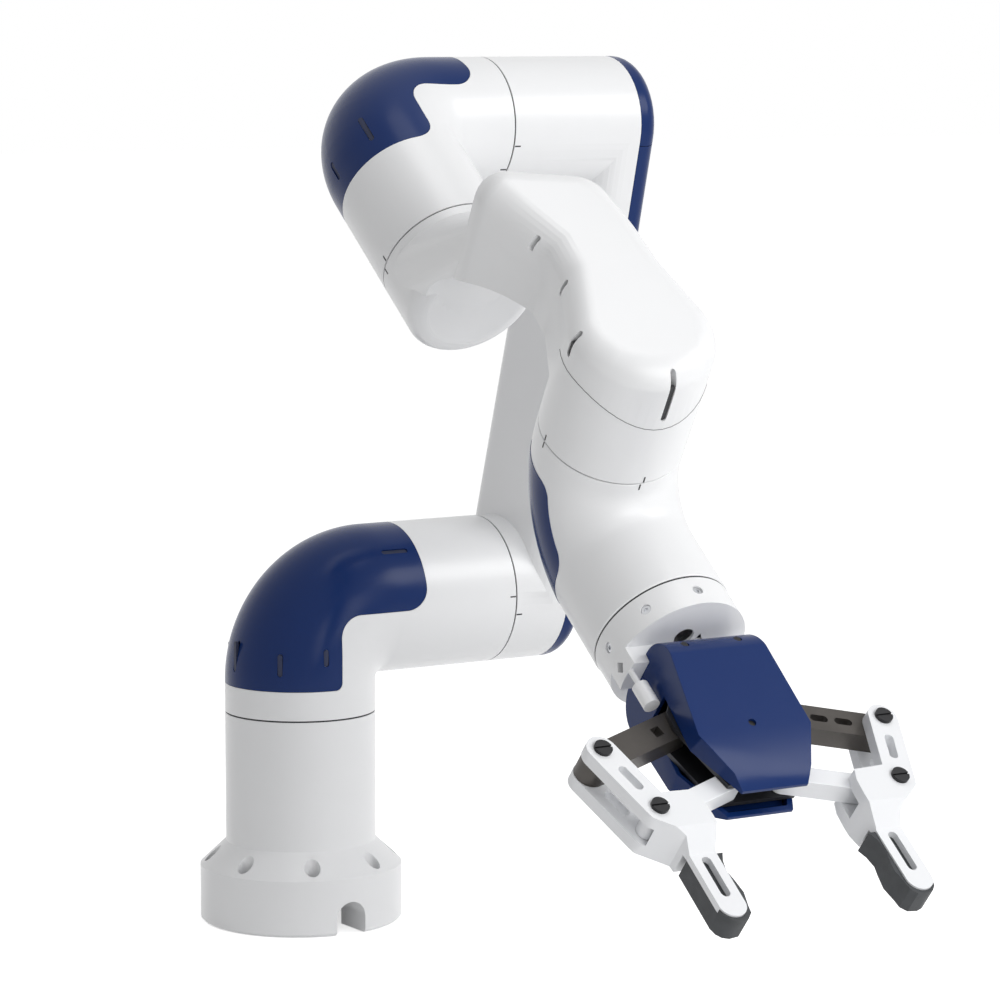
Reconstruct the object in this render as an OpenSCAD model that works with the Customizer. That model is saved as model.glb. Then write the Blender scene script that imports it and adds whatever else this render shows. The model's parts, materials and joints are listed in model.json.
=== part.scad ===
// Six-axis collaborative robot arm with a parallel-linkage two-finger gripper.
// Frame: millimetres, +Z up, origin at the centre of the flange's underside.
// +X is the side the arm leans to, +Y is the direction of the shoulder axle.

/* [Base] */
// Radius of the column and of the shoulder tube
column_r = 71; // [65:0.5:80]
// Radius of the foot flange
flange_r = 95.5; // [92:0.5:105]
// Height of the flange's straight side
flange_h = 53; // [40:1:60]
// Height at which the cone meets the column
cone_top = 76; // [65:1:90]
// Height of the first joint's gap
seam1_z = 199; // [190:1:215]
// Pitch circle diameter of the foot bolts
bolt_pcd = 168; // [160:1:176]
// Radius of each foot bolt hole
bolt_hole_r = 4.5; // [3.5:0.1:5.5]
// Radius of the pocket above each foot bolt
bolt_pocket_r = 7.5; // [7:0.1:8.5]
// Thickness of the flange under a bolt head
bolt_seat_h = 14; // [10:1:20]
// Number of foot bolts
bolt_count = 8; // [4:1:8]
// Width of the cable notch in the foot
notch_w = 30; // [20:1:36]
// Height of the cable notch
notch_h = 31; // [24:1:36]

/* [Links] */
// Height of the shoulder axle above the ground
shoulder_z = 300; // [290:1:315]
// Distance from the column's axis to the second joint's gap
seam2_y = 198; // [190:1:210]
// Length of the lower arm between its two axles
lower_arm_len = 470; // [440:5:500]
// Radius of the elbow, forearm and wrist tubes
tube_r = 62; // [60:0.5:64]
// Distance from the arm's middle plane to the third joint's gap
seam3_y = 118; // [112:1:124]
// Distance from the elbow axle to the fourth joint's gap
seam4_t = 176; // [170:1:185]
// Distance from the elbow axle to the wrist centre
forearm_len = 470; // [460:5:480]
// Height of the fifth joint's gap above the wrist centre
seam5_h = 74; // [70:1:80]
// Distance from the wrist centre to the tool joint's gap
seam6_t = 142; // [138:1:150]
// Drop of the tool axle below the forearm's axle
tool_drop = 17; // [12:0.5:20]

/* [Pose] */
// Lean of the lower arm from upright, in degrees
lean = 16.2; // [0:0.1:30]
// Slope of the forearm below level, in degrees
slope = 39.1; // [20:0.1:50]
// Roll of the forearm about its own axle, in degrees
roll = 9; // [-20:0.5:20]
// Angle of the gripper's drive links from square across
finger_angle = 17; // [5:0.5:60]

/* [Casting] */
// How much the bends' middle line is wider than their tube
bend_extra = 0.5; // [0.5:0.5:6]
// Radius of the wrist bend's middle line
wrist_bend = 80; // [70:1:82]
// Wall of the castings, measured from the outer surface
wall = 11.5; // [10:0.5:13]
// Thickness of the wall across a tube's driven end
plate = 9; // [7:0.5:12]
// Visible gap at each joint
gap = 1.6; // [1.2:0.1:2.4]
// Thickness of the moulded covers
cover_t = 4; // [3:0.5:5]
// Clearance between pieces that fit together
clear = 0.3; // [0.2:0.05:0.4]
// Width of a cover's screw slot
slot_w = 5; // [4:0.5:7]

/* [Lower arm] */
// Where the web's near face lies, along the shoulder axle
web_y = 218; // [214:1:224]
// Where the casting meets its back cover
web_back_y = 256; // [250:1:260]
// Outer face of the back cover
cover_y = 277; // [272:1:281]
// Rounding of the web's near edge
web_round = 26; // [20:1:30]
// Rounding of the back cover's edge
back_round = 14; // [8:1:18]

/* [Forearm] */
// Height of the crank's top above the wrist centre
crank_top = 200; // [194:1:206]
// Height of the split between casting and upper shell
split_h = 136; // [132:1:142]
// Rounding of the upper shell's top edge
shell_round = 22; // [16:1:24]
// Rounding of the shell's top where it drops to the pod
shell_back_round = 26; // [20:1:26]
// Length of the pod past the fourth joint's gap
pod_len = 60; // [50:1:70]
// Rounding of the pod's end
pod_round = 12; // [8:1:16]
// Depth of the dish in the pod's end
pod_dish = 10; // [4:1:12]

/* [Tool flange] */
// Length of the turning ring
ring_len = 26; // [22:1:30]
// Length of the adapter behind the ring
adapter_len = 20; // [16:1:24]
// Height of the adapter's milled flat above the tool axle
flat_h = 15.5; // [12:0.5:18]
// Radius of the adapter's cable hole
cable_hole_r = 9; // [7:0.5:11]

/* [Gripper] */
// Half of the body's width where it starts
body_half_w = 44; // [42:1:48]
// How much wider each side gets toward the finger links
body_flare = 11; // [8:1:12]
// Half of the body's depth
body_half_d = 45; // [40:1:48]
// Length of the body's straight part
body_len = 102; // [96:1:110]
// Length of the body's tapered nose
nose_len = 49; // [44:1:54]
// Length of each finger link between its pins
link_len = 95; // [90:1:100]
// Width of the dark drive links
drive_link_w = 26; // [22:1:30]
// Width of the white front links
front_link_w = 17; // [15:0.5:19]
// Thickness of the finger links
link_t = 18; // [14:1:19]
// Distance between a bracket's two pins along the gripper
pin_along = 62.5; // [58:0.5:68]
// Distance between a bracket's two pins across the gripper
pin_across = 20.5; // [16:0.5:24]
// Radius of the finger pins
pin_r = 5; // [4:0.5:6]
// Thickness of each bracket plate
bracket_t = 11.5; // [8:0.5:13]
// Radius of the dark pivot screw heads
head_r = 7.6; // [6:0.2:9]
// Thickness of the rubber fingertips behind their tongue
tip_d = 17.5; // [14:0.5:18]
// Thickness of the white tongue that carries a fingertip
tongue_t = 6; // [4:0.5:7]
// Thickness of each dark side plate inside the body
frame_t = 4; // [3:0.5:4.5]

/* [Hidden] */
$fn = 96;
big = 600;
paint = [0.93, 0.94, 0.95];
cover_blue = [0.13, 0.2, 0.42];
dark = [0.22, 0.23, 0.24];
rubber = [0.12, 0.13, 0.14];
metal = [0.72, 0.73, 0.75];
link_dark = [0.3, 0.29, 0.27];
column_bore_r = column_r - wall;
tube_bore_r = tube_r - wall;
column_bend = column_r + bend_extra;
tube_bend = tube_r + bend_extra;
shaft_r = 26;
shaft_bore_r = 14;
shaft_len = 66;
// lengths of a drive unit from the joint: its rim, its body, and its whole length with the motor
drive_rim = 14;
drive_body = 62;
drive_len = 84;
shoulder_leg = shoulder_z - seam1_z;
wrist_leg = seam5_h + tool_drop;
// pins of the fingers, in the gripper's frame: across, along
drive_pin = [46.7, 248.7];
front_pin = drive_pin + [-pin_across, pin_along];
finger_pin = drive_pin + link_len * [cos(finger_angle), sin(finger_angle)];
tip_pin = finger_pin + [-pin_across, pin_along];
ring_end = seam6_t + gap / 2 + ring_len;
adapter_end = ring_end + adapter_len;
body_start = adapter_end - 8;
body_end = body_start + body_len + nose_len;
window_half = link_t / 2 + frame_t + 3 * clear;

// ---------- places ----------
module at_shoulder() translate([0, 0, shoulder_z]) children();
module at_lower_arm() at_shoulder() rotate([0, lean, 0]) children();
// z runs down the forearm's axle, y stays level
module at_elbow() at_lower_arm() translate([0, 0, lower_arm_len])
    rotate([0, 90 + slope - lean, 0]) children();
module at_wrist() at_elbow() translate([0, 0, forearm_len]) rotate([0, 0, roll]) children();
// x runs down the forearm, z runs up to the crank's top
module at_crank() at_wrist() rotate([0, -90, 0]) children();
// x runs across the gripper, y to its front, z out along the tool axle
module at_tool() at_wrist() translate([tool_drop, 0, 0]) rotate([0, 0, 90 - roll]) children();

// ---------- shapes shared by several links ----------
// z to the first argument's direction: a short way to aim a cylinder along +y
module along_y() rotate([-90, 0, 0]) children();

// L-shaped tube: leg A along +z, leg B along +y, joined by a bend
module bent_tube(r, bend, leg_a, leg_b) {
    translate([0, 0, bend]) cylinder(r = r, h = leg_a - bend);
    translate([0, bend, 0]) along_y() cylinder(r = r, h = leg_b - bend);
    translate([0, bend, bend]) rotate([-90, 0, -90]) rotate_extrude(angle = 90)
        intersection() {
            translate([bend, 0]) circle(r);
            translate([0, -r]) square([bend + r, 2 * r]);
        }
}

// outline of a bend cover, seen from the side: y across, z up
module cover_outline(side, edge, end_y, end_z, low_round, grow) {
    s = side + grow;
    e = edge + grow;
    ey = end_y + grow;
    ez = end_z + grow;
    round_out = 22;
    round_in = 22 - grow;
    round_low = low_round;
    far = -200;
    translate([far, far]) square([s - far - round_low, ez - far]);
    translate([far, far]) square([s - far, ez - far - round_low]);
    translate([s - round_low, ez - round_low]) circle(round_low);
    translate([far, far]) square([ey - far - round_out, e - far]);
    translate([far, far]) square([ey - far, e - far - round_out]);
    translate([ey - round_out, e - round_out]) circle(round_out);
    difference() {
        translate([s - 1, e - 1]) square(round_in + 1);
        translate([s + round_in, e + round_in]) circle(round_in);
    }
}

module cover_block(side, edge, end_y, end_z, low_round, grow = 0)
    rotate([90, 0, 90]) linear_extrude(height = big, center = true)
        cover_outline(side, edge, end_y, end_z, low_round, grow);

module capsule(length, width) {
    square([length - width, width], center = true);
    translate([(length - width) / 2, 0]) circle(width / 2);
    translate([-(length - width) / 2, 0]) circle(width / 2);
}

// capsule prism that stands out through a tube's wall, long way along the tube
module slot_prism(r, azimuth, from, to, width)
    rotate([0, 0, azimuth]) translate([r, 0, (from + to) / 2]) rotate([0, 90, 0])
        linear_extrude(height = 24, center = true) capsule(to - from, width);

// dark plug that fills a slot, a little below the cover's surface
module slot_plug(r, azimuth, from, to)
    difference() {
        intersection() {
            slot_prism(r, azimuth, from + clear, to - clear, slot_w - 2 * clear);
            cylinder(r = r - 1.2, h = big, center = true);
        }
        cylinder(r = r - cover_t, h = big, center = true);
    }

// a cover's slots, and the plugs in them, measured back from the edge of the cover
module cover_slots(r, slots, edge)
    for (s = slots) slot_prism(r, s[0], edge - s[1], edge - s[2], slot_w);

module cover_plugs(r, slots, edge) for (s = slots) slot_plug(r, s[0], edge - s[1], edge - s[2]);

// stepped motor, gear and bearing unit; +z points to the driven link, z = 0 is the joint's gap
module drive_unit(bore_r) color(dark)
    translate([0, 0, -gap / 2 - clear]) difference() {
        union() {
            translate([0, 0, -drive_rim]) cylinder(r = bore_r - clear, h = drive_rim);
            translate([0, 0, -drive_body]) cylinder(r = bore_r - 7, h = drive_body - drive_rim);
            translate([0, 0, -drive_len]) cylinder(r = bore_r - 16, h = drive_len - drive_body);
        }
        translate([0, 0, -drive_len - 1]) cylinder(r = shaft_r + clear, h = drive_len + 2);
    }

module seal_ring(r) color(rubber)
    translate([0, 0, -gap / 2]) difference() {
        cylinder(r = r - 1.2, h = gap - clear);
        translate([0, 0, -1]) cylinder(r = r - 6.5, h = gap + 2);
    }

module output_shaft() color(metal)
    translate([0, 0, gap / 2 - shaft_len]) difference() {
        cylinder(r = shaft_r, h = shaft_len);
        translate([0, 0, -1]) cylinder(r = shaft_bore_r, h = shaft_len + 2);
    }

// plain disc with one rounded rim, from z = 0 (rounded) to z = h
module puck(r, h, round) rotate_extrude($fn = 48) {
    square([r - round, h]);
    translate([0, round]) square([r, h - round]);
    intersection() {
        translate([r - round, round]) circle(round, $fn = 32);
        square([r, round]);
    }
}

// ---------- places of the six joints: z along the axle to the driven link ----------
module at_joint1() translate([0, 0, seam1_z]) children();
module at_joint2() at_shoulder() translate([0, seam2_y, 0]) along_y() children();
module at_joint3() at_lower_arm() translate([0, seam3_y, lower_arm_len]) rotate([90, 0, 0]) children();
module at_joint4() at_elbow() translate([0, 0, seam4_t]) children();
module at_joint5() at_crank() translate([0, 0, seam5_h]) rotate([180, 0, 0]) children();
module at_joint6() at_tool() translate([0, 0, seam6_t]) children();

module j1_drive() at_joint1() drive_unit(column_bore_r);
module j2_drive() at_joint2() drive_unit(column_bore_r);
module j3_drive() at_joint3() drive_unit(tube_bore_r);
module j4_drive() at_joint4() drive_unit(tube_bore_r);
module j5_drive() at_joint5() drive_unit(tube_bore_r);
module j6_drive() at_joint6() drive_unit(tube_bore_r);
module j1_seal() at_joint1() seal_ring(column_r);
module j2_seal() at_joint2() seal_ring(column_r);
module j3_seal() at_joint3() seal_ring(tube_r);
module j4_seal() at_joint4() seal_ring(tube_r);
module j5_seal() at_joint5() seal_ring(tube_r);
module j6_seal() at_joint6() seal_ring(tube_r);
module j1_output() at_joint1() output_shaft();
module j2_output() at_joint2() output_shaft();
module j3_output() at_joint3() output_shaft();
module j4_output() at_joint4() output_shaft();
module j5_output() at_joint5() output_shaft();
module j6_output() at_joint6() output_shaft();

// ---------- base ----------
module base_housing() color(paint) difference() {
    rotate_extrude() {
        difference() {
            polygon([[0, 0], [flange_r - 3, 0], [flange_r, 3], [flange_r, flange_h],
                [column_r, cone_top], [column_r, seam1_z - gap / 2], [0, seam1_z - gap / 2]]);
            translate([0, -1]) square([column_bore_r - 8, seam1_z]);
            translate([0, 40]) square([column_bore_r, seam1_z]);
        }
    }
    for (n = [0 : bolt_count - 1]) rotate([0, 0, (n + 0.5) * 360 / bolt_count])
        translate([bolt_pcd / 2, 0, 0]) {
            translate([0, 0, -1]) cylinder(r = bolt_hole_r, h = big / 4);
            translate([0, 0, bolt_seat_h]) cylinder(r = bolt_pocket_r, h = big / 4);
        }
    translate([0, 0, -1]) rotate([90, 0, 90]) linear_extrude(height = flange_r + 5) {
        translate([-notch_w / 2, 0]) square([notch_w, notch_h + 1 - notch_w / 2]);
        translate([0, notch_h + 1 - notch_w / 2]) circle(notch_w / 2);
    }
}

// ---------- shoulder ----------
module shoulder_frame() at_shoulder() rotate([0, 180, 0]) children();
shoulder_cover_low = 73;
shoulder_cover_end = 98.5;
shoulder_cover_side = 5;
shoulder_cover_edge = 4;
shoulder_cover_round = 7;
// screw slots: azimuth about the leg, then both ends measured back from the cover's edge
shoulder_slots = [[-90, 43, 14], [-135, 35, 14], [-45, 35, 14], [-171, 39, 23], [-9, 39, 23]];
shoulder_end_slots = [[45, 38, 10], [135, 38, 10]];

module shoulder_housing() color(paint) shoulder_frame() difference() {
    union() {
        difference() {
            bent_tube(column_r, column_bend, shoulder_leg - gap / 2, seam2_y - gap / 2);
            cover_block(shoulder_cover_side, shoulder_cover_edge, shoulder_cover_end,
                shoulder_cover_low, shoulder_cover_round, clear);
        }
        bent_tube(column_r - cover_t - clear, column_bend, shoulder_leg - gap / 2, seam2_y - gap / 2);
    }
    bent_tube(column_bore_r, column_bend, shoulder_leg - gap / 2 - plate, seam2_y);
    cylinder(r = shaft_bore_r, h = shoulder_leg + 5);
}

module shoulder_cover() color(cover_blue) shoulder_frame() difference() {
    intersection() {
        bent_tube(column_r, column_bend, shoulder_leg, seam2_y);
        cover_block(shoulder_cover_side, shoulder_cover_edge, shoulder_cover_end,
            shoulder_cover_low, shoulder_cover_round);
    }
    bent_tube(column_r - cover_t, column_bend, shoulder_leg + 5, seam2_y + 5);
    cover_slots(column_r, shoulder_slots, shoulder_cover_low);
    along_y() cover_slots(column_r, shoulder_end_slots, shoulder_cover_end);
}

module shoulder_plugs() color(rubber) shoulder_frame() {
    cover_plugs(column_r, shoulder_slots, shoulder_cover_low);
    along_y() cover_plugs(column_r, shoulder_end_slots, shoulder_cover_end);
}

// ---------- lower arm ----------
module web_shape(inset, from, to, round) hull() {
    translate([0, from, 0]) along_y() puck(column_r - inset, to - from, round);
    translate([0, from, lower_arm_len]) along_y() puck(tube_r - inset, to - from, round);
}

module lower_arm_housing() color(paint) at_lower_arm() difference() {
    union() {
        web_shape(0, web_y, web_back_y, web_round);
        translate([0, seam2_y + gap / 2, 0]) along_y()
            cylinder(r = column_r, h = web_back_y - seam2_y - gap / 2 - 8);
        translate([0, seam3_y + gap / 2, lower_arm_len]) along_y()
            cylinder(r = tube_r, h = web_back_y - seam3_y - gap / 2 - 8);
    }
    hull() {
        translate([0, web_y + 10, 0]) along_y() cylinder(r = column_r - 10, h = 60, $fn = 48);
        translate([0, web_y + 10, lower_arm_len]) along_y() cylinder(r = tube_bore_r, h = 60, $fn = 48);
    }
    translate([0, seam2_y + gap / 2 + plate, 0]) along_y() cylinder(r = column_bore_r, h = 60);
    translate([0, seam2_y - 5, 0]) along_y() cylinder(r = shaft_bore_r, h = 60);
    translate([0, seam3_y - 5, lower_arm_len]) along_y() cylinder(r = tube_bore_r, h = 160);
}

module back_cover() difference() {
    hull() {
        translate([0, cover_y, 0]) rotate([90, 0, 0])
            puck(column_r, cover_y - web_back_y - clear, back_round);
        translate([0, cover_y, lower_arm_len]) rotate([90, 0, 0])
            puck(tube_r, cover_y - web_back_y - clear, back_round);
    }
    hull() {
        translate([0, web_back_y - 5, 0]) along_y()
            cylinder(r = column_r - back_round, h = 21, $fn = 32);
        translate([0, web_back_y - 5, lower_arm_len]) along_y()
            cylinder(r = tube_r - back_round, h = 21, $fn = 32);
    }
    for (z = back_screw_z) translate([0, cover_y, z]) along_y() cylinder(r = 5, h = 6, center = true);
}
back_screw_z = [-40, lower_arm_len / 3, lower_arm_len * 2 / 3, lower_arm_len + 36];
// height of the joint between the long back cover and the cap over the elbow
cap_z = lower_arm_len - 4;

module lower_arm_cover() color(cover_blue) at_lower_arm() difference() {
    back_cover();
    translate([-column_r - 5, web_back_y - 5, cap_z]) cube([2 * column_r + 10, 40, 100]);
}

module elbow_cap() color(cover_blue) at_lower_arm() intersection() {
    back_cover();
    translate([-column_r - 5, web_back_y - 5, cap_z + 2 * clear]) cube([2 * column_r + 10, 40, 100]);
}

module lower_arm_screws() color(dark) at_lower_arm()
    for (z = back_screw_z) translate([0, cover_y - 3, z]) along_y() cylinder(r = 5 - clear, h = 2);

// ---------- elbow ----------
elbow_cover_low = 85;
elbow_cover_end = 85;
elbow_cover_side = 9;
elbow_cover_edge = 14;
elbow_cover_round = 22;
elbow_slots = [[-45, 47, 16], [-90, 36, 15], [-135, 47, 16]];
elbow_end_slots = [[45, 33, 9], [135, 33, 9]];

module elbow_housing() color(paint) at_elbow() difference() {
    union() {
        difference() {
            bent_tube(tube_r, tube_bend, seam4_t - gap / 2, seam3_y - gap / 2);
            cover_block(elbow_cover_side, elbow_cover_edge, elbow_cover_end, elbow_cover_low,
                elbow_cover_round, clear);
        }
        bent_tube(tube_r - cover_t - clear, tube_bend, seam4_t - gap / 2, seam3_y - gap / 2);
    }
    bent_tube(tube_bore_r, tube_bend, seam4_t, seam3_y - gap / 2 - plate);
    along_y() cylinder(r = shaft_bore_r, h = seam3_y + 5);
}

module elbow_cover() color(cover_blue) at_elbow() difference() {
    intersection() {
        bent_tube(tube_r, tube_bend, seam4_t, seam3_y);
        cover_block(elbow_cover_side, elbow_cover_edge, elbow_cover_end, elbow_cover_low,
            elbow_cover_round);
    }
    bent_tube(tube_r - cover_t, tube_bend, seam4_t + 5, seam3_y + 5);
    cover_slots(tube_r, elbow_slots, elbow_cover_low);
    along_y() cover_slots(tube_r, elbow_end_slots, elbow_cover_end);
}

module elbow_plugs() color(rubber) at_elbow() {
    cover_plugs(tube_r, elbow_slots, elbow_cover_low);
    along_y() cover_plugs(tube_r, elbow_end_slots, elbow_cover_end);
}

// ---------- forearm ----------
// the lobes of the crank seen from its top: along the forearm, across, radius, rounding of the top
crank_lobes = [[0, 0, tube_r, shell_round], [-66, 7, 45, shell_round], [-112, 8, 43, shell_round],
    [-178, -37, 27, shell_back_round], [-154, 14, 34, shell_back_round]];
crank_hulls = [[0, 1], [1, 2], [2, 3, 4]];
pod_start = -forearm_len + seam4_t + gap / 2;
pod_end = pod_start + pod_len;
// arch under the web between the pod and the wrist drive
arch_r = 150;
arch_top = split_h - 18;
web_floor = 10;
// the split rises between the two ends in two wide arcs
split_rise = 21;
split_arc_r = 80;
split_arc_front = 8;
split_arc_back = -151;
arch_start = pod_end - 10;
// how far the faceted casting stays inside the true tubes it joins
facet_inset = 0.6;
neck_start = 8;
neck_len = 16;

module crank_outline(shrink) for (group = crank_hulls) hull()
    for (n = group) translate([crank_lobes[n][0], crank_lobes[n][1]])
        circle(crank_lobes[n][2] - shrink, $fn = 48);

module forearm_cover() color(paint) at_crank() difference() {
    for (group = crank_hulls) hull()
        for (n = group) translate([crank_lobes[n][0], crank_lobes[n][1], crank_top])
            rotate([180, 0, 0]) puck(crank_lobes[n][2], crank_top - split_h - clear, crank_lobes[n][3]);
    translate([0, 0, split_h - 1]) linear_extrude(height = crank_top - split_h - 18)
        crank_outline(10);
    split_region(clear);
    for (s = forearm_slots) at_lobe(s[0])
        slot_prism(crank_lobes[s[0]][2], s[1], crank_top - s[2], crank_top - s[3], slot_w);
}
shell_h = crank_top - split_h;
// lobe, azimuth, and both ends measured down from the crank's top
forearm_slots = [[0, -2, shell_h - 10, 4], [0, -95, shell_h / 2, 6], [1, -90, shell_h / 6 + 15, 10],
    [2, -100, shell_h / 6 + 15, 10]];
// the plugs stop where the shell's rounding falls away
plug_top = crank_top - shell_round + 6;

module forearm_plugs() color(rubber) at_crank() for (s = forearm_slots) at_lobe(s[0])
    slot_plug(crank_lobes[s[0]][2], s[1], crank_top - s[2], min(plug_top, crank_top - s[3]));

module at_lobe(n) translate([crank_lobes[n][0], crank_lobes[n][1], 0]) children();

module forearm_housing() color(paint) at_crank() difference() {
    union() {
        translate([pod_start, 0, 0]) rotate([0, 90, 0]) rotate_extrude() pod_profile();
        intersection() {
            union() {
                translate([0, 0, seam5_h + gap / 2]) cylinder(r = tube_r, h = 100);
                difference() {
                    union() {
                        translate([0, 0, 20]) linear_extrude(height = 150) crank_outline(facet_inset);
                        neck();
                    }
                    arch();
                }
            }
            split_region(0);
        }
    }
    translate([0, 0, seam5_h - 1]) cylinder(r = tube_bore_r, h = 100);
    translate([0, 0, arch_top + web_floor]) linear_extrude(height = 60) crank_outline(web_floor);
    translate([pod_start - 1, 0, 0]) rotate([0, 90, 0]) cylinder(r = shaft_bore_r, h = 20);
    translate([pod_start + plate, 0, 0]) rotate([0, 90, 0])
        cylinder(r = tube_bore_r - 6, h = pod_len - 2 * plate - pod_dish);
    translate([pod_start + 25, 0, 0]) rotate([0, duct_lean, 0]) cylinder(r = duct_r, h = 175);
}
// wiring duct from the pod's cavity up into the shell
duct_lean = 38;
duct_r = 12;

// the wide neck that sweeps from the pod up to the split
module neck() hull() {
    translate([pod_start + neck_start, 0, 0]) rotate([0, 90, 0])
        cylinder(r = tube_r - facet_inset, h = neck_len, $fn = 64);
    for (n = [3, 4]) translate([crank_lobes[n][0], crank_lobes[n][1], split_h - 8])
        cylinder(r = crank_lobes[n][2] - 2 * facet_inset, h = 10, $fn = 32);
}

// everything that lies below the split, seen from the side
module split_region(grow) rotate([90, 0, 0]) linear_extrude(height = 300, center = true) {
    z = split_h + split_rise - split_arc_r;
    translate([-300, -100]) square([400, 100 + split_h + grow / 2]);
    for (x = [split_arc_front, split_arc_back]) translate([x, z]) circle(split_arc_r + grow);
    translate([split_arc_back, z]) square([split_arc_front - split_arc_back, split_arc_r + grow]);
}

module arch() rotate([90, 0, 0]) linear_extrude(height = 300, center = true) {
    translate([arch_start + arch_r, arch_top - arch_r]) circle(arch_r);
    translate([arch_start + arch_r, -100]) square([250, arch_top + 100]);
    translate([arch_start, -100]) square([300, 100 + arch_top - arch_r]);
}

// the pod's section: its end is rounded at the rim and dished in the middle
module pod_profile() {
    dish_half = tube_r - pod_round - 2;
    dish_r = (dish_half * dish_half + pod_dish * pod_dish) / (2 * pod_dish);
    difference() {
        square([tube_r - pod_round, pod_len]);
        translate([0, pod_len + dish_r - pod_dish]) circle(dish_r);
    }
    square([tube_r, pod_len - pod_round]);
    translate([tube_r - pod_round, pod_len - pod_round]) circle(pod_round);
}

// ---------- wrist ----------
module wrist_housing() color(paint) at_crank() translate([0, 0, -tool_drop]) rotate([0, 0, -90])
    difference() {
        bent_tube(tube_r, wrist_bend, wrist_leg - gap / 2, seam6_t - gap / 2);
        bent_tube(tube_bore_r, wrist_bend, wrist_leg - gap / 2 - plate, seam6_t);
        cylinder(r = shaft_bore_r, h = wrist_leg + 5);
    }

// ---------- tool flange ----------
module tool_flange() color(paint) at_tool() difference() {
    translate([0, 0, seam6_t + gap / 2]) cylinder(r = tube_r - 1, h = ring_len);
    translate([0, 0, seam6_t + gap / 2 + plate]) cylinder(r = tube_r - 12, h = ring_len);
    translate([0, 0, seam6_t]) cylinder(r = shaft_bore_r, h = ring_len);
    for (n = [0 : 7]) rotate([0, 0, n * 45]) translate([tube_r - 1, 0, ring_screw_z])
        rotate([0, 90, 0]) cylinder(r = 4.5, h = 8, center = true);
}
ring_screw_z = seam6_t + gap / 2 + 14;

module adapter_screws() color(metal) at_tool()
    for (n = [0 : 7]) rotate([0, 0, n * 45]) translate([tube_r - 5, 0, ring_screw_z])
        rotate([0, 90, 0]) difference() {
            cylinder(r = 4.5 - clear, h = 2.5);
            translate([0, 0, 1]) cylinder(r = 2, h = 3, $fn = 6);
        }

module gripper_adapter() color(paint) at_tool() difference() {
    translate([0, 0, ring_end]) cylinder(r = tube_r - 1, h = adapter_len);
    for (side = [0, 1]) mirror([0, side, 0]) translate([-100, flat_h, ring_end + adapter_disc])
        cube([200, 100, 100]);
    // cable hole, wedge notch and the two side windows
    translate([-4, flat_h + 6, ring_end - 1]) cylinder(r = cable_hole_r, h = adapter_len + 2);
    translate([12, flat_h, ring_end - 1]) linear_extrude(height = adapter_disc + 2)
        polygon([[-4.5, 0.5], [4.5, 0.5], [0, 8]]);
    for (side = [-1, 1]) translate([side * tube_r, 0, ring_end + adapter_len / 2]) rotate([0, 90, 0])
        linear_extrude(height = 30, center = true) rotate([0, 0, 45]) square(8, center = true);
}
adapter_disc = 2.5;

module cable_connector() color(paint) at_tool() {
    translate([-body_half_w - 14, 6, body_start + 24]) cylinder(r = 7, h = 22);
    translate([4 - tube_r, 6, adapter_end]) cylinder(r = 2.5, h = body_start + 24 - adapter_end);
}

// ---------- gripper body ----------
// the body's outline from the front: across, along
module body_outline(grow) {
    w = body_half_w + grow;
    nose_w = body_half_w - 12 + grow;
    z1 = body_start + body_len;
    polygon([[-w, body_start - grow], [w, body_start - grow], [w + body_flare, z1],
        [nose_w, body_end + grow], [-nose_w, body_end + grow], [-w - body_flare, z1]]);
}

// the body's outline from the side: rounded where it starts, with two slopes to the nose
base_round = 27;
slope1_z = body_start + 107;
slope1_d = body_half_d - 13;
slope2_z = body_start + 139;
slope2_d = body_half_d - 19;

module body_side(grow) {
    d = body_half_d + grow;
    z0 = body_start - grow;
    r = base_round + grow;
    polygon([[-1, z0], [d - r, z0], [d, z0 + r], [slope1_d + grow, slope1_z],
        [slope2_d + grow, slope2_z], [slope2_d - 9 + grow, body_end + grow], [-1, body_end + grow]]);
    intersection() {
        translate([d - r, z0 + r]) circle(r);
        translate([d - r, z0]) square(r);
    }
}

module body_half(grow) intersection() {
    rotate([90, 0, 0]) linear_extrude(height = 200, center = true) body_outline(grow);
    rotate([90, 0, 90]) linear_extrude(height = 200, center = true) body_side(grow);
}

// screws: across, along, depth of the cover's face there
body_screws = [[0, body_start + 96, slope1_d + 2], [26, body_start + 16, body_half_d - 1],
    [-26, body_start + 16, body_half_d - 1]];
screw_r = 3.4;

module gripper_half_cover() difference() {
    body_half(0);
    body_half(-cover_t);
    // room for the adapter's flats and, further on, for the side plates and links
    translate([-100, -1, 0]) cube([200, flat_h + clear + 1, adapter_end + clear]);
    translate([-100, -1, 0]) cube([200, cover_join + 1, 900]);
    translate([-100, -1, drive_pin[1] - 24]) cube([200, window_half + 1, 900]);
    for (s = body_screws) translate([s[0], s[2] - 12, s[1]]) along_y() cylinder(r = screw_r, h = 30);
}
// half of the visible joint between the two covers
cover_join = 0.3;

module gripper_front_cover() color(cover_blue) at_tool() gripper_half_cover();
module gripper_rear_cover() color(cover_blue) at_tool() mirror([0, 1, 0]) gripper_half_cover();

module gripper_screws() color(dark) at_tool() for (side = [0, 1]) mirror([0, side, 0])
    for (s = body_screws) translate([s[0], s[2] - 7, s[1]]) along_y() cylinder(r = screw_r - clear, h = 5);

module gripper_frame() color(dark) at_tool() difference() {
    union() {
        for (side = [-1, 1]) translate([0, side * (link_t / 2 + clear + frame_t / 2), 0]) rotate([90, 0, 0])
            linear_extrude(height = frame_t, center = true) frame_outline();
        translate([-30, -link_t / 2 - clear - 1, adapter_end]) cube([60, link_t + 2 * clear + 2, 20]);
        for (side = [-1, 1]) for (pin = [drive_pin, front_pin]) translate([side * pin[0], 0, pin[1]])
            along_y() cylinder(r = pin_r, h = link_t + frame_t, center = true);
    }
    translate([-16, -50, adapter_end + 30]) cube([32, 100, 60]);
}

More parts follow.
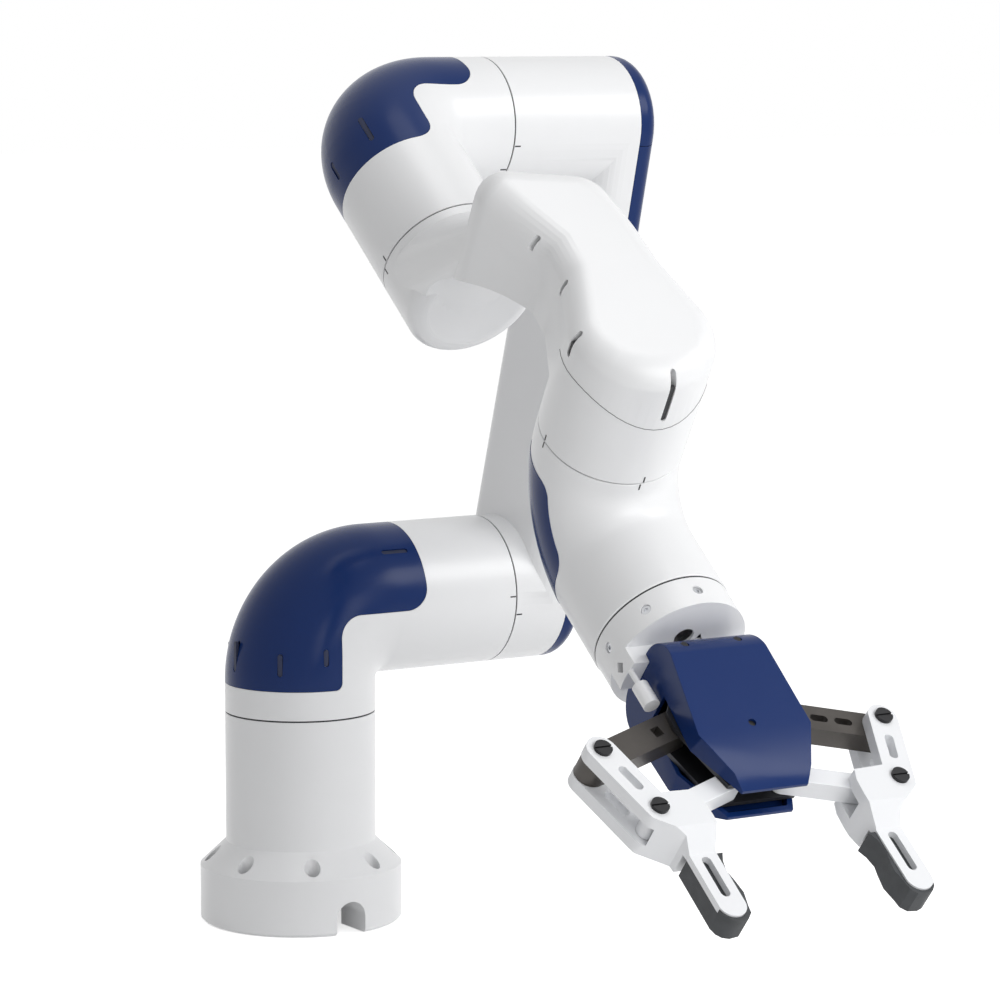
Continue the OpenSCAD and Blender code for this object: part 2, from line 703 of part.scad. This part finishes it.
// the plates stay inside the covers up to the open windows, then widen to carry the pins
module frame_outline() {
    inner_w = body_half_w - cover_t;
    z1 = drive_pin[1] - 26;
    polygon([[-30, adapter_end], [30, adapter_end], [inner_w, z1], [54, drive_pin[1] - 8],
        [56, drive_pin[1] + 8], [38, front_pin[1] + 10], [-38, front_pin[1] + 10],
        [-56, drive_pin[1] + 8], [-54, drive_pin[1] - 8], [-inner_w, z1]]);
}

module gripper_motor() color(dark) at_tool() translate([0, 0, adapter_end + 30.5]) cylinder(r = 14, h = 59);

// ---------- fingers ----------
// right-hand shapes; the left finger is their mirror image
// link with a pin hole at each end, from the pin at the body to the pin at the finger
module link(pin, w) translate([pin[0], 0, pin[1]]) rotate([90, -finger_angle, 0])
    linear_extrude(height = link_t, center = true) difference() {
        union() {
            circle(w / 2);
            translate([link_len, 0]) circle(w / 2);
            translate([0, -w / 2]) square([link_len, w]);
        }
        circle(pin_r + clear);
        translate([link_len, 0]) circle(pin_r + clear);
        children();
    }

module right_drive_shape() color(link_dark) link(drive_pin, drive_link_w) {
    translate([24, 0]) circle(5);
    for (x = [42, 64]) translate([x, 0]) capsule(16, 7);
}

module left_drive_shape() color(link_dark) link(drive_pin, drive_link_w)
    translate([24, 0]) square(9, center = true);

module front_link() color(paint) link(front_pin, front_link_w);

bracket_face = link_t / 2 + clear + bracket_t;
tongue_face = tongue_t - 0.5;
// all places on a finger are measured from its outer pin
tongue_x = -26.5;
tongue_half = 12.5;
tongue_end = 89;
block_low = 13;
block_high = 33;

module bracket_outline() {
    difference() {
        union() {
            translate(finger_pin) circle(13.5);
            translate(tip_pin) circle(14);
            polygon([finger_pin + [12.8, 4.2], tip_pin + [13.3, 4.4], tip_pin + [11, 10],
                tip_pin + [-13, 27], tip_pin + [-14, block_high + 4], tip_pin + [-39, block_high + 4],
                tip_pin + [-43, 21], tip_pin + [-43, 13], tip_pin + [-42, -2], tip_pin + [-38, -13],
                tip_pin + [-9, -14], finger_pin + [-12.8, -4.2]]);
        }
        translate((finger_pin + tip_pin) / 2) rotate([0, 0, atan2(pin_along, -pin_across)])
            capsule(26, 8);
    }
    difference() {
        union() {
            translate(tip_pin + [tongue_x - tongue_half, 27]) square([2 * tongue_half, tongue_end - 27]);
            translate(tip_pin + [tongue_x, tongue_end]) circle(tongue_half);
        }
        translate(tip_pin + [tongue_x, 62]) rotate([0, 0, 90]) capsule(40, 8.5);
    }
}

// the bracket from the side: two fork plates, the block that joins them, and the tongue
module bracket_side() {
    low = finger_pin[1] - 20;
    z = tip_pin[1];
    inner = link_t / 2 + clear;
    polygon([[inner, low], [bracket_face, low], [bracket_face, z + 21], [tongue_face, z + 39],
        [tongue_face, z + 120], [tongue_face - tongue_t, z + 120], [tongue_face - tongue_t, z + block_high],
        [-bracket_face, z + block_high], [-bracket_face, low], [-inner, low], [-inner, z + block_low],
        [inner, z + block_low]]);
}

module bracket() color(paint) {
    intersection() {
        rotate([90, 0, 0]) linear_extrude(height = 100, center = true) bracket_outline();
        rotate([90, 0, 90]) linear_extrude(height = 400) bracket_side();
    }
    for (pin = [finger_pin, tip_pin]) translate([pin[0], 0, pin[1]]) along_y()
        cylinder(r = pin_r, h = link_t + 2, center = true);
}

// rubber pad behind and inside of the tongue, with a hooked toe
module fingertip() color(rubber) difference() {
    translate([tip_pin[0], 0, tip_pin[1]]) rotate([90, 0, 0])
        translate([0, 0, -4]) linear_extrude(height = tip_d + 4.5) polygon(tip_points);
    translate([tip_pin[0], 0, tip_pin[1]]) {
        translate([tongue_x - tongue_half - clear, tongue_face - tongue_t, 30])
            cube([2 * tongue_half + 10, 20, tongue_end - 30]);
        translate([tongue_x, tongue_face - tongue_t, tongue_end]) along_y()
            cylinder(r = tongue_half + clear, h = 20);
    }
}
tip_points = [[-46, 39], [-14, 39], [-14, 93], [-16, 99], [-20, 103], [-26, 105], [-35, 104], [-40, 99],
    [-41, 92], [-44, 79], [-42, 66], [-40, 57], [-42, 47]];

module pivots() color(dark) for (pin = [finger_pin, tip_pin]) for (side = [-1, 1])
    translate([pin[0], side * bracket_face, pin[1]]) rotate([-90 * side, 0, 0]) difference() {
        cylinder(r = head_r, h = 3);
        translate([-head_r, -0.8, 1.6]) cube([2 * head_r, 1.6, 3]);
    }

module left_side() at_tool() mirror([1, 0, 0]) children();
module right_side() at_tool() children();
module left_drive_link() left_side() left_drive_shape();
module left_front_link() left_side() front_link();
module left_bracket() left_side() bracket();
module left_tip() left_side() fingertip();
module left_pivots() left_side() pivots();
module right_drive_link() right_side() right_drive_shape();
module right_front_link() right_side() front_link();
module right_bracket() right_side() bracket();
module right_tip() right_side() fingertip();
module right_pivots() right_side() pivots();

base_housing();
j1_drive();
j1_seal();
j1_output();
shoulder_housing();
shoulder_cover();
shoulder_plugs();
j2_drive();
j2_seal();
j2_output();
lower_arm_housing();
lower_arm_cover();
elbow_cap();
lower_arm_screws();
j3_drive();
j3_seal();
j3_output();
elbow_housing();
elbow_cover();
elbow_plugs();
j4_drive();
j4_seal();
j4_output();
forearm_housing();
forearm_cover();
forearm_plugs();
j5_drive();
j5_seal();
j5_output();
wrist_housing();
j6_drive();
j6_seal();
j6_output();
tool_flange();
gripper_adapter();
adapter_screws();
cable_connector();
gripper_frame();
gripper_motor();
gripper_front_cover();
gripper_rear_cover();
gripper_screws();
left_drive_link();
left_front_link();
left_bracket();
left_tip();
left_pivots();
right_drive_link();
right_front_link();
right_bracket();
right_tip();
right_pivots();
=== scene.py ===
"""Looks of the six-axis robot arm: materials, fine details, lamps and camera."""
import json
import math

import bmesh
import bpy
from mathutils import Matrix, Vector
from mathutils.bvhtree import BVHTree


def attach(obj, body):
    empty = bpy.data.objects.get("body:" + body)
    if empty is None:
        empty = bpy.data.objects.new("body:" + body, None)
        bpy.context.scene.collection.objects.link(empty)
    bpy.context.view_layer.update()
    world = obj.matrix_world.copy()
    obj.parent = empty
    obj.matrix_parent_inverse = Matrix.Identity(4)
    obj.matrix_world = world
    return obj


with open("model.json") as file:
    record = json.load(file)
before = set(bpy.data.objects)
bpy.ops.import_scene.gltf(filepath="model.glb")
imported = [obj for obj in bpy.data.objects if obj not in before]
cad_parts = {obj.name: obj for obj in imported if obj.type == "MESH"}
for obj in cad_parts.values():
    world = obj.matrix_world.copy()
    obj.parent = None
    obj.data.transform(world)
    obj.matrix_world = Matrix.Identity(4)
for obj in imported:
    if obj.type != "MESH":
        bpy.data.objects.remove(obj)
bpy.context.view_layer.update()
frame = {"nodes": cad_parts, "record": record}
NODES = frame["nodes"]
JOINTS = {joint["name"]: joint for joint in frame["record"]["behaviour"]["joints"]}

# ---------- camera: the photograph's angle ----------
CAMERA_PLACE = (3.2739, -1.8577, 0.8468)
CAMERA_TILT = 83.2
CAMERA_HEADING = 57.55
CAMERA_LENS = 144.95
CAMERA_SENSOR = 36
CAMERA_REACH = 60

camera_data = bpy.data.cameras.new("camera")
camera_data.lens = CAMERA_LENS
camera_data.sensor_width = CAMERA_SENSOR
camera_data.clip_end = CAMERA_REACH
camera = bpy.data.objects.new("camera", camera_data)
camera.location = CAMERA_PLACE
camera.rotation_euler = (math.radians(CAMERA_TILT), 0, math.radians(CAMERA_HEADING))
bpy.context.scene.collection.objects.link(camera)
bpy.context.scene.camera = camera
bpy.context.scene.view_settings.view_transform = "Standard"

# ---------- node materials ----------
# where a noise counts as dark and as light
CLOUD_LOW = 0.3
CLOUD_HIGH = 0.7


class Shader:
    """A small helper that builds one procedural material."""

    def __init__(self, name):
        self.material = bpy.data.materials.new(name)
        self.material.use_nodes = True
        self.nodes = self.material.node_tree.nodes
        self.links = self.material.node_tree.links
        self.bsdf = self.nodes["Principled BSDF"]
        self.coords = self.nodes.new("ShaderNodeTexCoord")

    def node(self, kind, **values):
        made = self.nodes.new("ShaderNode" + kind)
        for key, value in values.items():
            if key in made.inputs:
                made.inputs[key].default_value = value
            else:
                setattr(made, key, value)
        return made

    def link(self, a, b):
        self.links.new(a, b)

    def noise(self, scale, detail=3.0):
        made = self.node("TexNoise", Scale=scale, Detail=detail, Roughness=0.5)
        self.link(self.coords.outputs["Object"], made.inputs["Vector"])
        return made.outputs["Fac"]

    def mottle(self, fac, colour, darkest, lightest):
        """The colour, a little darker and lighter in the clouds of a noise."""
        made = self.node("ValToRGB")
        low, high = made.color_ramp.elements
        low.position = CLOUD_LOW
        low.color = tuple(c * darkest for c in colour) + (1,)
        high.position = CLOUD_HIGH
        high.color = tuple(c * lightest for c in colour) + (1,)
        self.link(fac, made.inputs["Fac"])
        self.link(made.outputs["Color"], self.bsdf.inputs["Base Color"])

    def roughness(self, fac, low, high):
        made = self.node("MapRange")
        made.inputs["To Min"].default_value = low
        made.inputs["To Max"].default_value = high
        self.link(fac, made.inputs["Value"])
        self.link(made.outputs["Result"], self.bsdf.inputs["Roughness"])

    def bump(self, height, strength, distance):
        made = self.node("Bump", Strength=strength, Distance=distance)
        self.link(height, made.inputs["Height"])
        self.link(made.outputs["Normal"], self.bsdf.inputs["Normal"])

    def set(self, **values):
        for key, value in values.items():
            self.bsdf.inputs[key.replace("_", " ")].default_value = value
        return self


PAINT_CLOUDS = 9
PAINT_GLOSS = 40
PAINT_PEEL = 900
PAINT_PEEL_DEPTH = 0.0002


def paint(name, colour, rough, peel):
    """Sprayed paint: an even colour with faint clouds and a fine orange peel."""
    s = Shader(name)
    s.mottle(s.noise(PAINT_CLOUDS), colour, 0.985, 1.0)
    s.roughness(s.noise(PAINT_GLOSS), rough - 0.04, rough + 0.04)
    s.bump(s.noise(PAINT_PEEL, 2), peel, PAINT_PEEL_DEPTH)
    return s


RUBBER_CLOUDS = 60
RUBBER_GLOSS = 150
RUBBER_DEPTH = 0.0004


def rubber(name, colour, grain, rough):
    """Dull moulded rubber with a visible grain."""
    s = Shader(name)
    s.mottle(s.noise(RUBBER_CLOUDS), colour, 0.8, 1.15)
    s.roughness(s.noise(RUBBER_GLOSS), rough - 0.08, rough + 0.08)
    s.bump(s.noise(grain, 4), 0.35, RUBBER_DEPTH)
    return s


METAL_CLOUDS = 35
TOOL_LINES = 220.0
TOOL_LINE_STRETCH = 14
TOOL_LINE_DEPTH = 0.0002


def machined(name, colour, rough, metallic):
    """Turned or milled metal with fine tool lines."""
    s = Shader(name).set(Metallic=metallic)
    stretched = s.node("Mapping")
    stretched.inputs["Scale"].default_value = (1, 1, TOOL_LINE_STRETCH)
    s.link(s.coords.outputs["Object"], stretched.inputs["Vector"])
    lines = s.node("TexNoise", Scale=TOOL_LINES, Detail=3.0)
    s.link(stretched.outputs["Vector"], lines.inputs["Vector"])
    s.mottle(s.noise(METAL_CLOUDS), colour, 0.86, 1.08)
    s.roughness(lines.outputs["Fac"], rough - 0.08, rough + 0.1)
    s.bump(lines.outputs["Fac"], 0.12, TOOL_LINE_DEPTH)
    return s


white_paint = paint("white_paint", (0.86, 0.865, 0.875), 0.36, 0.08)
white_paint.set(Coat_Weight=0.25, Coat_Roughness=0.2)
blue_cover = paint("blue_cover", (0.006, 0.026, 0.125), 0.24, 0.03)
blue_cover.set(Specular_IOR_Level=0.16)
white_aluminium = paint("white_aluminium", (0.84, 0.85, 0.87), 0.3, 0.05)
white_aluminium.set(Coat_Weight=0.2, Coat_Roughness=0.15)

SLOT_MATERIALS = {
    "white_paint": white_paint.material,
    "blue_cover": blue_cover.material,
    "seal": rubber("seal", (0.03, 0.03, 0.033), 900, 0.7).material,
    "blue_plug": rubber("blue_plug", (0.006, 0.012, 0.045), 900, 0.6).material,
    "drive_unit": machined("drive_unit", (0.08, 0.08, 0.085), 0.45, 0.6).material,
    "bare_metal": machined("bare_metal", (0.56, 0.57, 0.59), 0.3, 1.0).material,
    "dark_screw": machined("dark_screw", (0.03, 0.03, 0.032), 0.35, 0.7).material,
    "dark_frame": machined("dark_frame", (0.03, 0.031, 0.036), 0.42, 0.5).material,
    "link_metal": machined("link_metal", (0.075, 0.068, 0.062), 0.38, 0.6).material,
    "white_aluminium": white_aluminium.material,
    "rubber_tip": rubber("rubber_tip", (0.035, 0.038, 0.042), 1400, 0.62).material,
}

# ---------- CAD nodes: material, smooth shading, softened edges ----------
EDGE_WIDTHS = {
    "white_paint": 0.0012,
    "blue_cover": 0.0012,
    "rubber_tip": 0.0025,
    "white_aluminium": 0.0008,
}
EDGE_ANGLE = math.radians(35)
EDGE_SEGMENTS = 3
SMOOTH_ANGLE = math.radians(32)
WELD_REACH = 0.00001


def smooth_tree():
    """Node group that shades a mesh smooth, apart from edges sharper than SMOOTH_ANGLE."""
    tree = bpy.data.node_groups.new("smooth_by_angle", "GeometryNodeTree")
    tree.interface.new_socket("Geometry", in_out="INPUT", socket_type="NodeSocketGeometry")
    tree.interface.new_socket("Geometry", in_out="OUTPUT", socket_type="NodeSocketGeometry")
    start = tree.nodes.new("NodeGroupInput")
    end = tree.nodes.new("NodeGroupOutput")
    strip = tree.nodes.new("GeometryNodeRemoveAttribute")
    strip.inputs["Name"].default_value = "custom_normal"
    faces = tree.nodes.new("GeometryNodeSetShadeSmooth")
    edges = tree.nodes.new("GeometryNodeSetShadeSmooth")
    sharp = tree.nodes.new("GeometryNodeSetShadeSmooth")
    edges.domain = "EDGE"
    sharp.domain = "EDGE"
    sharp.inputs["Shade Smooth"].default_value = False
    angle = tree.nodes.new("GeometryNodeInputMeshEdgeAngle")
    wide = tree.nodes.new("ShaderNodeMath")
    wide.operation = "GREATER_THAN"
    wide.inputs[1].default_value = SMOOTH_ANGLE
    tree.links.new(angle.outputs["Unsigned Angle"], wide.inputs[0])
    tree.links.new(wide.outputs[0], sharp.inputs["Selection"])
    chain = [start, strip, faces, edges, sharp, end]
    for left, right in zip(chain, chain[1:]):
        tree.links.new(left.outputs["Geometry"], right.inputs["Geometry"])
    return tree


SMOOTH_TREE = smooth_tree()


def soften(node, width):
    weld = node.modifiers.new("weld", "WELD")
    weld.merge_threshold = WELD_REACH
    if width:
        bevel = node.modifiers.new("edges", "BEVEL")
        bevel.width = width
        bevel.segments = EDGE_SEGMENTS
        bevel.limit_method = "ANGLE"
        bevel.angle_limit = EDGE_ANGLE
    smooth = node.modifiers.new("smooth", "NODES")
    smooth.node_group = SMOOTH_TREE
    weights = node.modifiers.new("weights", "WEIGHTED_NORMAL")
    weights.keep_sharp = True


for part in frame["record"]["subparts"]:
    cad_node = NODES[part["node"]]
    slot_name = part["material_slot"]
    cad_node.data.materials.clear()
    cad_node.data.materials.append(SLOT_MATERIALS[slot_name])
    soften(cad_node, EDGE_WIDTHS.get(slot_name, 0))


# ---------- helpers for the added pieces ----------
def as_object(name, shape, place):
    """Object made from a bmesh, which is moved to its place and freed."""
    bmesh.ops.transform(shape, matrix=place, verts=shape.verts)
    mesh = bpy.data.meshes.new(name)
    shape.to_mesh(mesh)
    shape.free()
    made = bpy.data.objects.new(name, mesh)
    bpy.context.scene.collection.objects.link(made)
    return made


def dress(piece, body, slot_name):
    """Material, moving body and material slot of an added piece."""
    piece.data.materials.clear()
    piece.data.materials.append(SLOT_MATERIALS[slot_name])
    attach(piece, body)


def make_active(piece):
    bpy.ops.object.select_all(action="DESELECT")
    piece.select_set(True)
    bpy.context.view_layer.objects.active = piece


def frame_matrix(origin, x_axis, y_axis, z_axis):
    turn = Matrix((x_axis, y_axis, z_axis)).transposed()
    return Matrix.Translation(origin) @ turn.to_4x4()


# ---------- ticks beside the joints' seams ----------
COLUMN_R = 0.071
TUBE_R = 0.062
TICK_SIZE = (0.0005, 0.0012, 0.006)
# an axle steeper than this measures its angles from x instead of from straight up
STEEP = 0.95
# the fifth joint's seam lies this far back along its axle from the wrist's centre
SEAM_5 = -0.074
BESIDE = 0.0042
# joint, body that carries the tick, tube radius, degrees around the axle, metres along it;
# the degrees were worked out by a scratch program from places read off the photograph
TICKS = [
    ("shoulder_turn", "shoulder", COLUMN_R, 89.8, -BESIDE),
    ("shoulder_turn", "lower_arm", COLUMN_R, 104.4, BESIDE),
    ("elbow_turn", "lower_arm", TUBE_R, 107.3, BESIDE),
    ("elbow_turn", "elbow", TUBE_R, 129.8, -BESIDE),
    ("forearm_roll", "elbow", TUBE_R, 92.8, -BESIDE),
    ("forearm_roll", "forearm", TUBE_R, 100.0, BESIDE),
    ("wrist_bend", "forearm", TUBE_R, -99.2, SEAM_5 - BESIDE),
    ("wrist_bend", "wrist", TUBE_R, -99.2, SEAM_5 + BESIDE),
    ("wrist_bend", "forearm", TUBE_R, 170.6, SEAM_5 - BESIDE),
    ("wrist_bend", "wrist", TUBE_R, 172.6, SEAM_5 + BESIDE),
]


def spot_on_tube(joint_name, radius, degrees, along):
    """Place on a tube: x points outward, y around the tube and z along the joint's axle."""
    joint = JOINTS[joint_name]
    axle = Vector(joint["axis"]).normalized()
    up = Vector((1, 0, 0)) if abs(axle.z) > STEEP else Vector((0, 0, 1))
    level = (up - axle * up.dot(axle)).normalized()
    outward = Matrix.Rotation(math.radians(degrees), 3, axle) @ level
    spot = Vector(joint["pos_m"]) + outward * radius + axle * along
    return frame_matrix(spot, outward, axle.cross(outward), axle)


for number, (joint_name, body, radius, degrees, along) in enumerate(TICKS):
    block = bmesh.new()
    bmesh.ops.create_cube(block, size=1)
    bmesh.ops.scale(block, vec=TICK_SIZE, verts=block.verts)
    tick = as_object(f"tick_{number}", block, spot_on_tube(joint_name, radius, degrees, along))
    dress(tick, body, "seal")

# ---------- the thin dark joint between the forearm's casting and its shell ----------
JOINT_LINE_R = 0.00035
JOINT_REACH = 0.0006
RIM_ANGLE = math.radians(40)
RAY_START = 0.0002


def outer_rim(cover, carrier):
    """Edges, halfway across the gap, where the cover's outer wall meets its carrier."""
    shape = bmesh.new()
    shape.from_mesh(cover.data)
    bmesh.ops.remove_doubles(shape, verts=shape.verts, dist=WELD_REACH)
    shape.normal_update()
    own = BVHTree.FromBMesh(shape)
    other = BVHTree.FromPolygons([v.co for v in carrier.data.vertices],
                                 [tuple(p.vertices) for p in carrier.data.polygons])
    reach = {v: other.find_nearest(v.co) for v in shape.verts}
    points = {}
    rim = []
    for edge in shape.edges:
        if len(edge.link_faces) != 2 or edge.calc_face_angle(0) < RIM_ANGLE:
            continue
        if any(reach[v][3] > JOINT_REACH for v in edge.verts):
            continue
        middle = (edge.verts[0].co + edge.verts[1].co) / 2
        toward = other.find_nearest(middle)[0] - middle
        wall = min(edge.link_faces, key=lambda face: face.normal.dot(toward))
        if own.ray_cast(middle + wall.normal * RAY_START, wall.normal)[0] is None:
            for v in edge.verts:
                points.setdefault(v, len(points))
            rim.append(tuple(points[v] for v in edge.verts))
    middles = [(v.co + reach[v][0]) / 2 for v in points]
    shape.free()
    return middles, rim


def add_joint_line(name, cover, carrier, body):
    points, rim = outer_rim(NODES[cover], NODES[carrier])
    path = bpy.data.meshes.new(name)
    path.from_pydata([tuple(p) for p in points], rim, [])
    line = bpy.data.objects.new(name, path)
    bpy.context.scene.collection.objects.link(line)
    make_active(line)
    bpy.ops.object.convert(target="CURVE")
    line = bpy.context.object
    line.data.bevel_depth = JOINT_LINE_R
    line.data.bevel_resolution = 1
    line.data.use_fill_caps = True
    bpy.ops.object.convert(target="MESH")
    dress(bpy.context.object, body, "seal")


add_joint_line("forearm_joint_line", "forearm_cover", "forearm_housing", "forearm")

# ---------- moulded cover on the outside of the wrist's bend ----------
TOOL_DROP = 0.017
WRIST_BEND = 0.080
COVER_OUT = TUBE_R + 0.0005
COVER_IN = TUBE_R - 0.0015
COVER_ARC = 0.066
COVER_TOP = 0.056
COVER_LOW = 0.067
COVER_CORNER = 0.018
COVER_EDGE = 0.0004
# the ring that the cover is cut from starts at this angle, in degrees, and runs this far
RING_START = 3
RING_SWEEP = 84
BLOCK_REACH = 0.15
BEND_STEPS = 40
ROUND_STEPS = 80
CORNER_STEPS = 10
ARC_STEPS = 24


def bend_frame():
    """Origin where the wrist's legs meet; x along the tool axle, y back along the fifth joint's."""
    down = Vector(JOINTS["wrist_bend"]["axis"]).normalized()
    out = Vector(JOINTS["tool_turn"]["axis"]).normalized()
    corner = Vector(JOINTS["wrist_bend"]["pos_m"]) + down * TOOL_DROP
    return frame_matrix(corner, out, -down, down.cross(out))


def bend_point(radius, along, around):
    """Point on the bend's tube, in the bend's frame."""
    reach = WRIST_BEND + radius * math.cos(around)
    across = WRIST_BEND - reach * math.cos(along)
    return Vector((across, WRIST_BEND - reach * math.sin(along), -radius * math.sin(around)))


def bend_shell():
    """Closed quarter ring with a thin wall, a little proud of the casting."""
    shape = bmesh.new()
    turns = [2 * math.pi * k / ROUND_STEPS for k in range(ROUND_STEPS)]
    rings = []
    for n in range(BEND_STEPS + 1):
        along = math.radians(RING_START + RING_SWEEP * n / BEND_STEPS)
        rings.append([[shape.verts.new(bend_point(radius, along, around)) for around in turns]
                      for radius in (COVER_OUT, COVER_IN)])
    for k in range(ROUND_STEPS):
        m = (k + 1) % ROUND_STEPS
        for first, second in zip(rings, rings[1:]):
            shape.faces.new((first[0][k], first[0][m], second[0][m], second[0][k]))
            shape.faces.new((first[1][m], first[1][k], second[1][k], second[1][m]))
        shape.faces.new((rings[0][0][m], rings[0][0][k], rings[0][1][k], rings[0][1][m]))
        shape.faces.new((rings[-1][0][k], rings[-1][0][m], rings[-1][1][m], rings[-1][1][k]))
    bmesh.ops.recalc_face_normals(shape, faces=shape.faces)
    return shape


def arc(centre, radius, start, end, steps):
    angles = [start + (end - start) * n / steps for n in range(steps + 1)]
    return [(centre[0] + radius * math.cos(a), centre[1] + radius * math.sin(a)) for a in angles]


def end_corner(end):
    """Place of the rounding between the cover's arc and its end, and the arc's angle there."""
    side = end - COVER_CORNER
    far = COVER_ARC + COVER_CORNER
    drop = WRIST_BEND - math.sqrt(far ** 2 - (WRIST_BEND - side) ** 2)
    return side, drop, math.atan2(WRIST_BEND - drop, WRIST_BEND - side)


def cover_outline():
    """Outline in the bend's plane: an arc that follows the bend, with two rounded ends."""
    half = math.pi / 2
    top_side, top_drop, top_lean = end_corner(COVER_TOP)
    low_side, low_drop, low_lean = end_corner(COVER_LOW)
    centre = (WRIST_BEND, WRIST_BEND)
    points = [(-BLOCK_REACH, COVER_TOP)]
    points += arc((top_drop, top_side), COVER_CORNER, half, half - top_lean, CORNER_STEPS)
    points += arc(centre, COVER_ARC, 3 * half - top_lean, math.pi + low_lean, ARC_STEPS)[1:-1]
    points += arc((low_side, low_drop), COVER_CORNER, low_lean, 0, CORNER_STEPS)
    return points + [(COVER_LOW, -BLOCK_REACH), (-BLOCK_REACH, -BLOCK_REACH)]


def prism(points, half_height):
    shape = bmesh.new()
    low = [shape.verts.new((x, y, -half_height)) for x, y in points]
    high = [shape.verts.new((x, y, half_height)) for x, y in points]
    shape.faces.new(low)
    shape.faces.new(reversed(high))
    for k in range(len(points)):
        m = (k + 1) % len(points)
        shape.faces.new((low[m], low[k], high[k], high[m]))
    bmesh.ops.recalc_face_normals(shape, faces=shape.faces)
    return shape


wrist_cover = as_object("wrist_cover", bend_shell(), bend_frame())
cutter = as_object("wrist_cutter", prism(cover_outline(), BLOCK_REACH), bend_frame())
cut = wrist_cover.modifiers.new("cut", "BOOLEAN")
cut.operation = "INTERSECT"
cut.solver = "EXACT"
cut.object = cutter
make_active(wrist_cover)
bpy.ops.object.modifier_apply(modifier=cut.name)
bpy.data.objects.remove(cutter)
soften(wrist_cover, COVER_EDGE)
dress(wrist_cover, "wrist", "blue_cover")


# ---------- floor, world and lamps ----------
def sees_backdrop(tree):
    """1 for the rays that look at the backdrop itself: camera, mirror and glass rays."""
    path = tree.nodes.new("ShaderNodeLightPath")
    total = path.outputs["Is Camera Ray"]
    for name in ("Is Glossy Ray", "Is Transmission Ray"):
        adder = tree.nodes.new("ShaderNodeMath")
        adder.operation = "MAXIMUM"
        tree.links.new(total, adder.inputs[0])
        tree.links.new(path.outputs[name], adder.inputs[1])
        total = adder.outputs[0]
    return total


FLOOR_SIZE = 40
FLOOR_DROP = 0.0005
FLOOR_GREY = 0.9
FLOOR_ROUGH = 0.9
# the floor's own light for rays that see it, and the sky's light for all other rays
FLOOR_LIFT = 0.66
SKY_LIGHT = 0.42

bpy.ops.mesh.primitive_plane_add(size=FLOOR_SIZE, location=(0, 0, -FLOOR_DROP))
floor = bpy.context.object
floor.name = "floor"
floor_shader = Shader("floor")
floor_shader.set(Base_Color=(FLOOR_GREY, FLOOR_GREY, FLOOR_GREY, 1), Roughness=FLOOR_ROUGH)
floor_shader.set(Specular_IOR_Level=0.0, Emission_Color=(1, 1, 1, 1))
floor_lift = floor_shader.node("Math", operation="MULTIPLY")
floor_lift.inputs[1].default_value = FLOOR_LIFT
floor_shader.link(sees_backdrop(floor_shader.material.node_tree), floor_lift.inputs[0])
floor_shader.link(floor_lift.outputs[0], floor_shader.bsdf.inputs["Emission Strength"])
floor.data.materials.append(floor_shader.material)

world = bpy.data.worlds.new("world")
bpy.context.scene.world = world
world.use_nodes = True
background = world.node_tree.nodes["Background"]
background.inputs["Color"].default_value = (1, 1, 1, 1)
sky = world.node_tree.nodes.new("ShaderNodeMapRange")
sky.inputs["To Min"].default_value = SKY_LIGHT
sky.inputs["To Max"].default_value = 1.0
world.node_tree.links.new(sees_backdrop(world.node_tree), sky.inputs["Value"])
world.node_tree.links.new(sky.outputs["Result"], background.inputs["Strength"])

# name, place, target, diameter in metres, power in watts
LAMPS = [
    ("key", (2.3, 1.9, 2.1), (0.3, 0.1, 0.4), 1.4, 26),
    ("top", (0.6, 0.2, 3.0), (0.4, 0, 0.5), 1.5, 11),
    ("front", (2.7, 0.1, 0.9), (0.2, 0.1, 0.4), 1.6, 18),
]
for lamp_name, place, target, size, power in LAMPS:
    lamp_data = bpy.data.lights.new(lamp_name, "AREA")
    lamp_data.shape = "DISK"
    lamp_data.size = size
    lamp_data.energy = power
    lamp = bpy.data.objects.new(lamp_name, lamp_data)
    lamp.location = place
    aim = Vector(target) - Vector(place)
    lamp.rotation_euler = aim.to_track_quat("-Z", "Y").to_euler()
    bpy.context.scene.collection.objects.link(lamp)
